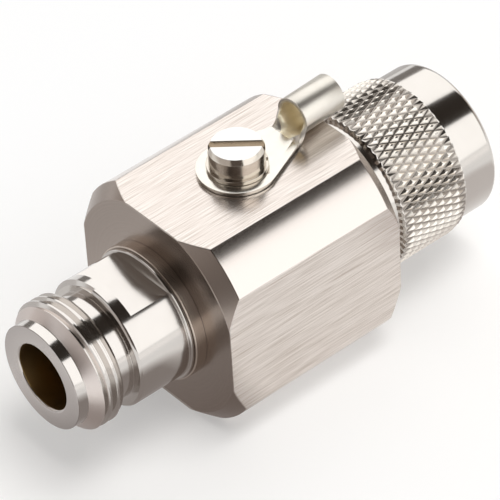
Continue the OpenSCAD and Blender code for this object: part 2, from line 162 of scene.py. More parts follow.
def threadTool(line, start, end, pitch, tip, top, tipFlat, steps=96):
    # a V with a blunt tip, driven along the line as a tap or die is
    way = turningLines[line]
    half = tipFlat / 2
    halfTop = half + abs(top - tip) * math.tan(math.radians(threadForm["flank"]))
    halfTop = min(halfTop, threadForm["widest"] * pitch)
    outline = [(-half, tip), (half, tip), (halfTop, top), (-halfTop, top), (-half, tip)]
    spots = [(way["along"] * (start + a) + way["out"] * r) * mm for a, r in outline]
    bpy.ops.object.select_all(action="DESELECT")
    bpy.ops.mesh.primitive_plane_add(size=mm, location=spots[0])
    obj = settle(named("threadTool"))
    pullOutline(spots)
    bpy.ops.object.mode_set(mode="OBJECT")
    bpy.ops.object.modifier_add(type="SCREW")
    step = obj.modifiers[-1]
    step.axis = way["axis"]
    step.angle = 2 * math.pi
    step.screw_offset = pitch * mm
    step.iterations = math.ceil((end - start) / pitch)
    step.steps = step.render_steps = steps
    step.use_smooth_shade = False
    bpy.ops.object.modifier_apply(modifier=step.name)
    bpy.ops.object.mode_set(mode="EDIT")
    bpy.ops.mesh.select_all(action="SELECT")
    bpy.ops.mesh.remove_doubles(threshold=weld)
    bpy.ops.mesh.fill_holes(sides=0)
    faceOut()
    obj.location = way["centre"] * mm
    return settle(obj)


def dress(obj, node, body, finish, smoothAngle):
    pick(obj)
    bpy.ops.object.shade_smooth_by_angle(angle=math.radians(smoothAngle))
    obj.data.materials.clear()
    obj.data.materials.append(finish)
    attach(obj, body)
    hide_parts(node)
    print("made", obj.name, len(obj.data.polygons), "faces")


class Wire:                               # a socket that takes part in sums
    def __init__(self, finish, socket):
        self.finish = finish
        self.socket = socket

    def sum(self, how, other=0.0, swap=False):
        pair = (other, self) if swap else (self, other)
        return self.finish.node("ShaderNodeMath", {"operation": how}, {0: pair[0], 1: pair[1]})

    def __add__(self, other):
        return self.sum("ADD", other)

    def __sub__(self, other):
        return self.sum("SUBTRACT", other)

    def __mul__(self, other):
        return self.sum("MULTIPLY", other)

    def __truediv__(self, other):
        return self.sum("DIVIDE", other)

    def __radd__(self, other):
        return self.sum("ADD", other, True)

    def __rsub__(self, other):
        return self.sum("SUBTRACT", other, True)

    def __rmul__(self, other):
        return self.sum("MULTIPLY", other, True)

    def __pow__(self, other):
        return self.sum("POWER", other)

    def __gt__(self, other):
        return self.sum("GREATER_THAN", other)

    def __lt__(self, other):
        return self.sum("LESS_THAN", other)

    def __abs__(self):
        return self.sum("ABSOLUTE")

    def most(self, other):
        return self.sum("MAXIMUM", other)

    def least(self, other):
        return self.sum("MINIMUM", other)

    def held(self):                       # kept from 0 to 1
        return self.most(0.0).least(1.0)

    def swing(self, gain):                # a pattern about its middle
        return (self - 0.5) * gain


class Finish:                             # the nodes of one material, or of the world
    def __init__(self, name, holders=bpy.data.materials):
        self.holder = holders.new(name)
        self.holder.use_nodes = True
        self.tree = self.holder.node_tree
        self.tree.nodes.clear()

    def node(self, kind, settings=None, sockets=None, out=0):
        made = self.tree.nodes.new(kind)
        for key, value in (settings or {}).items():
            setattr(made, key, value)
        for key, value in (sockets or {}).items():
            if isinstance(value, Wire):
                self.tree.links.new(value.socket, made.inputs[key])
            else:
                made.inputs[key].default_value = value
        return Wire(self, made.outputs[out]) if made.outputs else None

    def spot(self):                       # place on the piece in millimetres
        place = self.node("ShaderNodeTexCoord", None, None, "Object")
        return self.node("ShaderNodeVectorMath", {"operation": "SCALE"}, {0: place, "Scale": 1 / mm})

    def parts(self, vector):
        split = self.node("ShaderNodeSeparateXYZ", None, {0: vector})
        return [Wire(self, split.socket.node.outputs[k]) for k in range(3)]

    def stretched(self, vector, scale):
        return self.node("ShaderNodeVectorMath", {"operation": "MULTIPLY"}, {0: vector, 1: scale})

    def noise(self, vector, scale, detail=2.0, rough=0.55):
        return self.node("ShaderNodeTexNoise", {"noise_dimensions": "3D"},
                         {"Vector": vector, "Scale": scale, "Detail": detail, "Roughness": rough})

    def rings(self, value, scale, detail=2.0):
        return self.node("ShaderNodeTexNoise", {"noise_dimensions": "1D"},
                         {"W": value, "Scale": scale, "Detail": detail, "Roughness": 0.6})

    def blend(self, share, first, second):
        return self.node("ShaderNodeMix", {"data_type": "RGBA"}, {"Factor": share, 6: first, 7: second}, 2)

    def bump(self, height, distance, under=None):
        sockets = {"Strength": 1.0, "Distance": distance, "Height": height}
        if under:
            sockets["Normal"] = under
        return self.node("ShaderNodeBump", None, sockets)

    def rays(self):                       # those from the camera, off a mirror and through glass
        path = self.node("ShaderNodeLightPath").socket.node.outputs
        names = ("Is Camera Ray", "Is Glossy Ray", "Is Transmission Ray")
        return [Wire(self, path[name]) for name in names]

    def done(self, sockets):
        shader = self.node("ShaderNodeBsdfPrincipled", None, sockets)
        return self.lit(shader)

    def lit(self, shader):
        self.node("ShaderNodeOutputMaterial", None, {"Surface": shader})
        return self.holder


# nickel plate on the body: brushed flats, dull turned ends painted darker as painted shade over their turned
# rings, polished round corners
bodyLook = {
    "half": 12.5, "flatBand": 0.06, "chamferReach": 25.66, "bossFrom": 12.56, "bossSide": 8.2,
    "plate": (0.73, 0.675, 0.635, 1), "streakDark": (0.47, 0.40, 0.35, 1),
    "endShadePlate": (0.45, 0.39, 0.35, 1), "endShadeDark": (0.37, 0.315, 0.28, 1), "bossPlate": (0.66, 0.58, 0.51, 1),
    "fineStreaks": (0.22, 15.0, 15.0), "broadStreaks": (0.12, 8.0, 8.0), "fineShare": 0.6,
    "streakGain": 3.6, "streakBase": 0.27, "rings": 9.0, "ringGain": 1.6,
    "flatRough": 0.23, "flatSpread": 0.16, "cornerRough": 0.20, "endRough": 0.25, "endSpread": 0.10,
    "streakDepth": 0.0022 * mm, "ringDepth": 0.0012 * mm,
}


def bodyNickel(look):
    f = Finish("bodyNickel")
    spot = f.spot()
    x, y, z = f.parts(spot)
    up = z - look["half"]
    edge = look["half"] - look["flatBand"]
    radius = (y * y + up * up) ** 0.5
    onFlat = abs(y).most(abs(up)) > edge
    faced = abs(x) > edge
    chamfered = (abs(x) + radius) > look["chamferReach"]
    onEnd = faced.most(chamfered) * (1 - onFlat)
    onBoss = (abs(x) > look["bossFrom"]) * (radius > look["bossSide"])
    onCorner = (1 - onFlat) * (1 - onEnd)
    fine = f.noise(f.stretched(spot, look["fineStreaks"]), 1.0, detail=1.0, rough=0.5)
    broad = f.noise(f.stretched(spot, look["broadStreaks"]), 1.0, detail=1.0)
    turnedRings = f.rings(radius + abs(x), look["rings"], detail=3.0)
    streak = fine * look["fineShare"] + broad * (1 - look["fineShare"])
    share = streak.swing(look["streakGain"]) + look["streakBase"]
    brushed = f.blend((share * onFlat).held(), look["plate"], look["streakDark"])
    # the ends are painted darker than the flats: painted shade, with the turned rings on it
    ringShare = turnedRings.swing(look["ringGain"]) + 0.5
    faces = f.blend(ringShare.held(), look["endShadePlate"], look["endShadeDark"])
    faces = f.blend(onBoss, faces, look["bossPlate"])
    paint = f.blend(onEnd, brushed, faces)
    rough = (look["flatRough"] + fine.swing(look["flatSpread"])) * onFlat + look["cornerRough"] * onCorner
    rough = rough + (look["endRough"] + turnedRings.swing(look["endSpread"])) * onEnd
    streaks = f.bump(fine * onFlat, look["streakDepth"])
    normal = f.bump(turnedRings * onEnd, look["ringDepth"], streaks)
    return f.done({"Base Color": paint, "Roughness": rough, "Metallic": 1.0, "Normal": normal})


turnedWear = {"cloud": 0.5, "cloudSpread": 0.05, "lighter": 0.2}


def band(along, radius, ends, inside):    # one length of the outside
    return (along > ends[0]) * (along < ends[1]) * (radius > inside)


# bright turned nickel with faint tool marks round its own line
def turnedNickel(name, line, look):
    f = Finish(name)
    spot = f.spot()
    x, y, z = f.parts(spot)
    centre = turningLines[line]["centre"]
    away = [x - centre.x, y - centre.y, z - centre.z]
    along = away.pop("XYZ".index(turningLines[line]["axis"]))
    radius = (away[0] * away[0] + away[1] * away[1]) ** 0.5
    marks = f.rings(along + radius, look["marks"])
    cloud = f.noise(spot, turnedWear["cloud"])
    paint = f.blend(((marks + cloud) / 2 - turnedWear["lighter"]).held(), look["plate"], look["shade"])
    rough = look["rough"] + marks.swing(look["roughSpread"]) + cloud.swing(turnedWear["cloudSpread"])
    if "bore" in look:                    # inside the mouth the paint is darker and browner and the roughness higher
        inBore = radius < look["bore"]
        paint = f.blend(inBore, paint, look["borePaint"])
        rough = rough + inBore * (look["boreRough"] - look["rough"])
    if "face" in look:                    # faced end painted darker as painted shade; cone painted lighter as painted light, and duller than the turned sides
        onCone = band(along, radius, look["cone"], look["coneInside"])
        paint = f.blend(along < look["face"], paint, look["faceShadePaint"])
        paint = f.blend(onCone, paint, look["coneLitPaint"])
        rough = rough + onCone * (look["coneRough"] - look["rough"])
    if "top" in look:                     # top of the head is painted lighter: a painted highlight
        paint = f.blend(along > look["top"], paint, look["topHighlightPaint"])
    if "knurl" in look:                   # rolled diamonds are duller than the plain bands; their tops are painted lighter and warmer as painted light, their grooves dark as painted shade
        onKnurl = band(along, radius, look["knurl"], look["knurlInside"])
        grooveShade = (1 - (radius - look["knurlRoot"]) / look["knurlDepth"]).held()
        paint = f.blend(onKnurl, paint, f.blend(grooveShade * grooveShade, look["knurlLitPaint"], look["grooveShadePaint"]))
        rough = rough + onKnurl * (look["knurlRough"] - look["rough"])
    normal = f.bump(marks, look["depth"])
    return f.done({"Base Color": paint, "Roughness": rough, "Metallic": 1.0, "Normal": normal})


jackLook = {
    "plate": (0.67, 0.64, 0.61, 1), "shade": (0.60, 0.565, 0.535, 1), "rough": 0.13, "roughSpread": 0.06,
    "marks": 11.0, "depth": 0.0002 * mm, "bore": 4.08, "borePaint": (0.34, 0.23, 0.10, 1), "boreRough": 0.40,
    # faced end paint is painted shade, cone paint is painted light
    "face": -28.98, "faceShadePaint": (0.47, 0.435, 0.42, 1), "cone": (-27.70, -26.45), "coneInside": 6.3,
    "coneLitPaint": (0.80, 0.73, 0.695, 1), "coneRough": 0.33,
}
nutLook = {
    "plate": (0.67, 0.64, 0.605, 1), "shade": (0.61, 0.575, 0.54, 1), "rough": 0.13, "roughSpread": 0.05,
    "marks": 8.0, "depth": 0.0002 * mm, "knurl": (15.87, 25.03), "knurlInside": 9.55, "knurlRoot": 9.76,
    # knurl tops are painted light, the grooves painted shade
    "knurlDepth": 0.22, "knurlLitPaint": (0.84, 0.79, 0.725, 1), "grooveShadePaint": (0.20, 0.175, 0.155, 1),
    "knurlRough": 0.24,
}
screwLook = {
    "plate": (0.69, 0.635, 0.565, 1), "shade": (0.61, 0.555, 0.485, 1), "rough": 0.15, "roughSpread": 0.07,
    # the head's top paint is a painted highlight
    "marks": 14.0, "depth": 0.0003 * mm, "top": 28.7, "topHighlightPaint": (0.74, 0.73, 0.71, 1),
}
plugLook = {
    "plate": (0.67, 0.64, 0.61, 1), "shade": (0.60, 0.565, 0.535, 1), "rough": 0.15, "roughSpread": 0.06,
    "marks": 11.0, "depth": 0.0002 * mm,
}

# tinned lug: bright sheet, softer barrel, warm inside that is partly the copper tone and partly painted
# light, lighter and less metallic, fading toward the far end
lugLook = {
    "plate": (0.79, 0.76, 0.70, 1), "shade": (0.73, 0.69, 0.62, 1), "warm": (0.99, 0.90, 0.69, 1),
    "turn": 3.0, "axisHeight": 27.42, "inside": 2.05, "neck": 7.2, "warmEnd": 14.0, "warmFade": 2.0,
    "sheetRough": 0.20, "barrelRough": 0.37, "warmRough": 0.32, "roughSpread": 0.12, "warmFlat": 0.4,
    "cloud": 0.8, "grain": (3.0, 9.0, 9.0), "depth": 0.0006 * mm,
}


def lugTin(look):
    f = Finish("lugTin")
    spot = f.spot()
    x, y, z = f.parts(spot)
    a = math.radians(look["turn"])
    across = y * math.cos(a) - x * math.sin(a)
    up = z - look["axisHeight"]
    past = x > look["neck"]
    fade = ((look["warmEnd"] - x) / look["warmFade"]).held()
    # inside the barrel near the mouth: copper tone with painted light, lighter paint and less metal
    inside = ((across * across + up * up) ** 0.5 < look["inside"]) * past * fade
    cloud = f.noise(spot, look["cloud"], detail=3.0)
    grain = f.noise(f.stretched(spot, look["grain"]), 1.0)
    paint = f.blend(inside, f.blend(cloud, look["plate"], look["shade"]), look["warm"])
    rough = look["sheetRough"] + past * (look["barrelRough"] - look["sheetRough"])
    rough = rough + inside * (look["warmRough"] - look["barrelRough"]) + grain.swing(look["roughSpread"])
    return f.done({"Base Color": paint, "Roughness": rough, "Metallic": 1 - inside * look["warmFlat"],
                   "Normal": f.bump(grain, look["depth"])})


# plated and bare metals of the small inner pieces
softLook = {"cloud": 0.8, "grain": 9.0, "roughSpread": 0.12, "depth": 0.0006 * mm}
softMetals = {
    "goldPlate": {"plate": (0.85, 0.66, 0.32, 1), "shade": (0.78, 0.58, 0.26, 1), "rough": 0.20},
    "springBronze": {"plate": (0.72, 0.53, 0.32, 1), "shade": (0.62, 0.43, 0.25, 1), "rough": 0.28},
    "capMetal": {"plate": (0.80, 0.80, 0.79, 1), "shade": (0.72, 0.72, 0.71, 1), "rough": 0.28},
}


def softMetal(name, look):
    f = Finish(name)
    spot = f.spot()
    cloud = f.noise(spot, softLook["cloud"], detail=3.0)
    grain = f.noise(spot, softLook["grain"])
    paint = f.blend(cloud, look["plate"], look["shade"])
    return f.done({"Base Color": paint, "Roughness": look["rough"] + grain.swing(softLook["roughSpread"]),
                   "Metallic": 1.0, "Normal": f.bump(grain, softLook["depth"])})


# insulators, ceramic, rubber and silicone
dullSpread = 0.1
dullSolids = {
    "whiteInsulator": {"light": (0.88, 0.87, 0.84, 1), "dark": (0.82, 0.81, 0.78, 1), "rough": 0.45,
                       "cloud": 1.2, "depth": 0.002 * mm},
    "whiteCeramic": {"light": (0.90, 0.88, 0.84, 1), "dark": (0.84, 0.82, 0.78, 1), "rough": 0.35,
                     "cloud": 0.8, "depth": 0.002 * mm},
    "blackRubber": {"light": (0.030, 0.030, 0.032, 1), "dark": (0.018, 0.018, 0.020, 1), "rough": 0.62,
                    "cloud": 5.0, "depth": 0.006 * mm},
    "redSilicone": {"light": (0.42, 0.13, 0.08, 1), "dark": (0.34, 0.10, 0.06, 1), "rough": 0.55,
                    "cloud": 4.0, "depth": 0.006 * mm},
}


def dullSolid(name, look):
    f = Finish(name)
    cloud = f.noise(f.spot(), look["cloud"], detail=3.0)
    paint = f.blend(cloud, look["light"], look["dark"])
    return f.done({"Base Color": paint, "Roughness": look["rough"] + cloud.swing(dullSpread),
                   "Normal": f.bump(cloud, look["depth"])})


finishes = {
    "body": bodyNickel(bodyLook),
    "jack": turnedNickel("jackNickel", "coax", jackLook),
    "nut": turnedNickel("nutNickel", "coax", nutLook),
    "screw": turnedNickel("screwNickel", "screw", screwLook),
    "plug": turnedNickel("plugNickel", "coax", plugLook),
    "tubePlug": turnedNickel("tubePlugNickel", "tube", plugLook),
    "tin": lugTin(lugLook),
}
for name, look in softMetals.items():
    finishes[name] = softMetal(name, look)
for name, look in dullSolids.items():
    finishes[name] = dullSolid(name, look)
print("finishes ready,", len(finishes))

# inner pieces keep their CAD shape and get a finish
cadDress = {
    "jack_seal": "blackRubber", "plug_seal": "blackRubber", "tube_plug_seal": "blackRubber",
    "face_gasket": "redSilicone", "jack_bead": "whiteInsulator", "plug_bead": "whiteInsulator",
    "jack_socket": "goldPlate", "line_rod": "goldPlate", "plug_pin": "goldPlate", "plug_shell": "plug",
    "nut_ring": "springBronze", "tube_spring": "springBronze", "tube_ceramic": "whiteCeramic",
    "tube_inner_cap": "capMetal", "tube_outer_cap": "capMetal",
}
for node, finish in cadDress.items():
    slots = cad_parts[node].data.materials
    slots.clear()
    slots.append(finishes[finish])

# body: a round bar with its ends chamfered, then four flats cut away
bodySize = {
    "flats": 25.0, "flatWidth": 16.1, "length": 25.0, "chamfer": 1.65, "edge": 0.09, "edgeAngle": 24.0,
    "boss": 16.7, "bossHeight": 1.5, "bossRoot": -5.0, "bossEdge": 0.12, "bossAngle": 60.0,
    "line": 10.0, "spigot": 13.04, "spigotDepth": 4.5, "tubeBore": 8.6, "tubeEnd": 8.46, "plugBore": 10.12,
    "plugSink": 12.3, "plugSeat": 11.28, "screwHole": 4.12, "screwDepth": 5.6, "drill": 1.2, "past": 1.0,
    "barSteps": 192, "boreSteps": 96, "holeSteps": 64, "mergeAngle": 0.5, "smooth": 5.0,
}


def makeBody(size):
    half = size["length"] / 2
    halfFlats = size["flats"] / 2
    bar = math.hypot(size["flats"], size["flatWidth"]) / 2
    faceEdge = bar - size["chamfer"]
    shoulder = half - size["chamfer"]
    outline = [(-half, 0), (-half, faceEdge), (-shoulder, bar), (shoulder, bar), (half, faceEdge), (half, 0)]
    obj = turned("bodyBlock", outline, "coax", size["barSteps"])
    bpy.ops.object.mode_set(mode="EDIT")
    for side in (alongY, -alongY, alongZ, -alongZ):
        bpy.ops.mesh.select_all(action="SELECT")
        at = (coaxCentre + side * halfFlats) * mm
        bpy.ops.mesh.bisect(plane_co=at, plane_no=side, use_fill=True, clear_outer=True)
    faceOut()
    bpy.ops.object.mode_set(mode="EDIT")
    bpy.ops.mesh.select_all(action="SELECT")
    bpy.ops.mesh.dissolve_limited(angle_limit=math.radians(size["mergeAngle"]))   # one face for each end
    bpy.ops.object.mode_set(mode="OBJECT")
    softenEdges(obj, size["edge"], size["edgeAngle"])

    bossEnd = -half - size["bossHeight"]
    boss = size["boss"] / 2
    outline = [(bossEnd, 0), (bossEnd, boss), (size["bossRoot"], boss), (size["bossRoot"], 0)]
    tool = turned("boss", outline, "coax")
    softenEdges(tool, size["bossEdge"], size["bossAngle"])
    combine(obj, tool, "UNION")

    past = size["past"]                   # tools stand out of the face that they cut
    inner = half - size["spigotDepth"]
    line = size["line"] / 2
    spigot = size["spigot"] / 2
    outline = [(bossEnd - past, 0), (bossEnd - past, spigot), (-inner, spigot), (-inner, line),
               (inner, line), (inner, spigot), (half + past, spigot), (half + past, 0)]
    combine(obj, turned("coaxBore", outline, "coax", size["boreSteps"]))

    tube = size["tubeBore"] / 2
    plug = size["plugBore"] / 2
    sink = size["plugSink"] / 2
    outline = [(0, 0), (0, tube), (size["tubeEnd"], tube), (size["tubeEnd"], plug), (size["plugSeat"], plug),
               (size["plugSeat"], sink), (halfFlats + past, sink), (halfFlats + past, 0)]
    combine(obj, turned("tubeBore", outline, "tube", size["boreSteps"]))

    top = size["flats"] + past
    holeEnd = size["flats"] - size["screwDepth"]
    hole = size["screwHole"] / 2
    outline = [(holeEnd - size["drill"], 0), (holeEnd, hole), (top, hole), (top, 0)]
    combine(obj, turned("screwHole", outline, "screw", size["holeSteps"]))
    return obj


dress(makeBody(bodySize), "body_block", "body", finishes["body"], bodySize["smooth"])

# jack: mouth, pilot, cone, thread, relief, collar with two wrench flats, rim and spigot
jackSize = {
    "mouth": -29.05, "mouthRound": 0.35, "roundSteps": 5, "bore": 4.05, "pilot": 6.4, "pilotEnd": -27.75,
    "threadStart": -26.4, "crest": 7.85, "chamferStart": -24.1, "threadEnd": -23.4, "chamfer": 0.7,
    "relief": 6.5, "collarFace": -21.35, "collar": 7.8, "collarEdge": 0.3,
    "rimFace": -14.5, "rim": 8.1, "rimEdge": 0.1, "seat": -14.0, "spigot": 6.5, "end": -8.0,
    "sealGroove": (-13.6, -12.5), "sealRoot": 5.6, "bead": 4.22, "beadEnd": -12.0, "line": 3.5,
    "step": -19.95, "flatHeight": 6.25, "flatStart": -19.75, "flatReach": 10.0,
    "edge": 0.06, "edgeAngle": 40.0, "pitch": 25.4 / 24, "root": 7.24, "tipFlat": 0.13, "runIn": 0.8,
    "runOut": 0.5, "over": 0.1, "steps": 160, "smooth": 22.0,
}


def makeJack(size):
    lip = roundedEdge(size["mouth"], size["bore"], size["mouthRound"], size["roundSteps"])
    sealFront, sealBack = size["sealGroove"]
    outline = lip + [
        (size["mouth"], size["pilot"]), (size["pilotEnd"], size["pilot"]),
        (size["threadStart"], size["crest"]), (size["chamferStart"], size["crest"]),
        (size["threadEnd"], size["crest"] - size["chamfer"]), (size["threadEnd"], size["relief"]),
        (size["collarFace"], size["relief"]), (size["collarFace"], size["collar"] - size["collarEdge"]),
        (size["collarFace"] + size["collarEdge"], size["collar"]), (size["rimFace"], size["collar"]),
        (size["rimFace"], size["rim"] - size["rimEdge"]), (size["rimFace"] + size["rimEdge"], size["rim"]),
        (size["seat"] - size["rimEdge"], size["rim"]), (size["seat"], size["rim"] - size["rimEdge"]),
        (size["seat"], size["spigot"]), (sealFront, size["spigot"]), (sealFront, size["sealRoot"]),
        (sealBack, size["sealRoot"]), (sealBack, size["spigot"]), (size["end"], size["spigot"]),
        (size["end"], size["bead"]), (size["beadEnd"], size["bead"]), (size["beadEnd"], size["line"]),
        (size["step"], size["line"]), (size["step"], size["bore"]), lip[0]]
    obj = turned("jackShell", outline, "coax", size["steps"])
    softenEdges(obj, size["edge"], size["edgeAngle"])
    reach = size["flatReach"]
    for side in (1, -1):                  # wrench flats above and below
        low, high = sorted((lineHeight + side * size["flatHeight"], lineHeight + side * reach))
        combine(obj, block((size["flatStart"], -reach, low), (size["rimFace"], reach, high)))
    tool = threadTool("coax", size["pilotEnd"] - size["runIn"], size["collarFace"] - size["runOut"],
                      size["pitch"], size["root"], size["crest"] + size["over"], size["tipFlat"])
    combine(obj, tool)
    return obj


dress(makeJack(jackSize), "jack_shell", "body", finishes["jack"], jackSize["smooth"])

# coupling nut: two plain bands with a diamond knurl between them, thread inside
nutSize = {
    "back": 13.2, "neck": 6.06, "band": 9.3, "bandEdge": 0.35, "front": 30.45, "frontRound": 0.7,
    "roundSteps": 6, "knurlBack": 15.85, "knurlFront": 25.05, "root": 9.76, "crest": 10.05, "rows": 8,
    "count": 64, "topShare": 24, "endShare": 0.3, "grooveFlat": 0.06, "near": 0.02,
    "minor": 7.4, "web": 18.55, "lead": 0.95, "ringGroove": (15.275, 16.475), "ringRoot": 6.6,
    "pitch": 25.4 / 24, "threadRoot": 7.95, "tipFlat": 0.13, "runIn": 0.3, "runOut": 0.6, "over": 0.1,
    "smooth": 16.0,
}


def fromLine(spot):                       # distance from the coax line, in millimetres
    return math.hypot(spot.y, spot.z - lineHeight * mm) / mm


def rollKnurl(obj, size, row):
    mesh = obj.data
    near = size["near"]                   # points this close to a row, or to its depth, are on it
    back = size["knurlBack"] - near
    front = size["knurlFront"] + near
    halfTurn = math.pi / size["count"]
    isCrest, isEnd = [], []
    for v in mesh.vertices:               # every other point of the knurl rows is a crest
        j = (v.co.x / mm - size["knurlBack"]) / row
        k = round(math.atan2(v.co.y, v.co.z - lineHeight * mm) / halfTurn)
        onRow = abs(j - round(j)) < near and abs(fromLine(v.co) - size["root"]) < near
        raised = onRow and 0 <= round(j) <= size["rows"] and (round(j) + k) % 2 == 1
        inner = 0 < round(j) < size["rows"]
        isCrest.append(raised and inner)
        isEnd.append(raised and not inner)
    rise = (size["crest"] - size["root"]) / (1 - size["topShare"] / 100)
    for chosen, lift in ((isCrest, rise), (isEnd, rise * size["endShare"])):
        pickPoints(obj, chosen)
        stretch = 1 + lift / size["root"]
        bpy.ops.transform.resize(value=(1, stretch, stretch), center_override=coaxCentre * mm)
        bpy.ops.object.mode_set(mode="OBJECT")
    for p in mesh.polygons:               # facets of the diamonds
        spots = [mesh.vertices[i].co for i in p.vertices]
        inside = all(back < c.x / mm < front for c in spots)
        p.select = inside and min(fromLine(c) for c in spots) > size["root"] - near
    bpy.ops.object.mode_set(mode="EDIT")
    bpy.ops.mesh.select_mode(type="FACE")
    bpy.ops.mesh.quads_convert_to_tris(quad_method="SHORTEST_DIAGONAL")
    bpy.ops.object.mode_set(mode="OBJECT")
    pickPoints(obj, isCrest)              # flat tops
    bpy.ops.mesh.bevel(offset_type="PERCENT", offset_pct=size["topShare"], affect="VERTICES")
    bpy.ops.mesh.select_all(action="DESELECT")
    bpy.ops.mesh.select_mode(type="EDGE")
    bpy.ops.object.mode_set(mode="OBJECT")
    for e in mesh.edges:                  # grooves between the diamonds get a narrow flat
        spots = [mesh.vertices[i].co for i in e.vertices]
        low = all(abs(fromLine(c) - size["root"]) < near for c in spots)
        inside = all(back < c.x / mm < front for c in spots)
        e.select = low and inside and abs(spots[0].x - spots[1].x) > row / 2 * mm
    bpy.ops.object.mode_set(mode="EDIT")
    bpy.ops.mesh.bevel(offset=size["grooveFlat"] * mm, segments=1, affect="EDGES")
    bpy.ops.mesh.select_mode(type="VERT")
    bpy.ops.object.mode_set(mode="OBJECT")


def makeNut(size):
    row = (size["knurlFront"] - size["knurlBack"]) / size["rows"]
    knurl = [(size["knurlBack"] + row * j, size["root"]) for j in range(size["rows"] + 1)]
    nose = roundedEdge(size["front"], size["band"], -size["frontRound"], size["roundSteps"])
    ringBack, ringFront = size["ringGroove"]
    outline = [
        (size["back"], size["neck"]), (size["back"], size["band"] - size["bandEdge"]),
        (size["back"] + size["bandEdge"], size["band"]), (size["knurlBack"], size["band"])]
    outline += knurl + [(size["knurlFront"], size["band"])] + nose + [
        (size["front"], size["minor"] + size["lead"]), (size["front"] - size["lead"], size["minor"]),
        (size["web"], size["minor"]), (size["web"], size["neck"]), (ringFront, size["neck"]),
        (ringFront, size["ringRoot"]), (ringBack, size["ringRoot"]), (ringBack, size["neck"]),
        (size["back"], size["neck"])]
    obj = turned("couplingNut", outline, "coax", 2 * size["count"])
    rollKnurl(obj, size, row)
    tool = threadTool("coax", size["web"] + size["runIn"], size["front"] + size["runOut"],
                      size["pitch"], size["threadRoot"], size["minor"] - size["over"], size["tipFlat"])
    combine(obj, tool)
    return obj


dress(makeNut(nutSize), "coupling_nut", "nut", finishes["nut"], nutSize["smooth"])

# ground screw: slotted cheese head on a threaded shank
screwSize = {
    "end": 20.0, "point": 0.4, "shank": 2.0, "seat": 26.11, "head": 3.2, "headHeight": 2.65, "chamfer": 0.32,
    "slot": 1.05, "slotDepth": 1.0, "slotReach": 5.0, "past": 1.0, "turn": -42.0,
    "edge": 0.05, "edgeAngle": 22.0, "pitch": 0.7, "root": 1.6, "tipFlat": 0.09, "runIn": 0.8,
    "threadEnd": 24.6, "over": 0.06, "steps": 96, "threadSteps": 64, "smooth": 15.0,
}


def makeScrew(size):
    top = size["seat"] + size["headHeight"]
    outline = [(size["end"], 0), (size["end"], size["shank"] - size["point"]),
               (size["end"] + size["point"], size["shank"]), (size["seat"], size["shank"]),
               (size["seat"], size["head"]), (top - 2 * size["chamfer"], size["head"]),
               (top, size["head"] - size["chamfer"]), (top, 0)]
    obj = turned("groundScrew", outline, "screw", size["steps"])
    reach = size["slotReach"]
    half = size["slot"] / 2
    slot = block((-reach, -half, top - size["slotDepth"]), (reach, half, top + size["past"]), size["turn"])
    combine(obj, slot)
    softenEdges(obj, size["edge"], size["edgeAngle"])
    tool = threadTool("screw", size["end"] - size["runIn"], size["threadEnd"], size["pitch"], size["root"],
                      size["shank"] + size["over"], size["tipFlat"], size["threadSteps"])
    combine(obj, tool)
    return obj


dress(makeScrew(screwSize), "ground_screw", "screw", finishes["screw"], screwSize["smooth"])

# split lock washer
washerSize = {
    "bottom": 25.59, "thick": 0.5, "inside": 2.15, "outside": 3.5, "split": 0.5, "turn": -42.0,
    "edge": 0.05, "edgeAngle": 40.0, "steps": 96, "smooth": 15.0,
}


def makeWasher(size):
    gap = 2 * math.degrees(math.asin(size["split"] / 2 / size["outside"]))
    bottom = size["bottom"]
    top = bottom + size["thick"]
    outline = [(bottom, size["inside"]), (bottom, size["outside"]), (top, size["outside"]),
               (top, size["inside"]), (bottom, size["inside"])]
    obj = turned("lockWasher", outline, "screw", size["steps"], 360 - gap)
    obj.rotation_euler = (0, 0, math.radians(size["turn"] + gap / 2))
    settle(obj)
    softenEdges(obj, size["edge"], size["edgeAngle"])
    return obj


dress(makeWasher(washerSize), "lock_washer", "washer",
      finishes["screw"], washerSize["smooth"])

# ring lug: a sheet ring whose tongue curls up into a rolled barrel
lugSize = {
    "middle": 25.295, "ring": 4.65, "hole": 2.15, "sheet": 0.5, "rimBand": 0.05, "tangent": 71.0,
    "neckStart": 7.55, "neckHalf": 2.2, "mouth": 8.6, "barrelEnd": 14.5, "barrel": 2.05,
    "barrelHeight": 27.42, "turn": 3.0, "edge": 0.06, "edgeAngle": 50.0, "points": 72, "curl": 7,
    "smooth": 30.0,
}


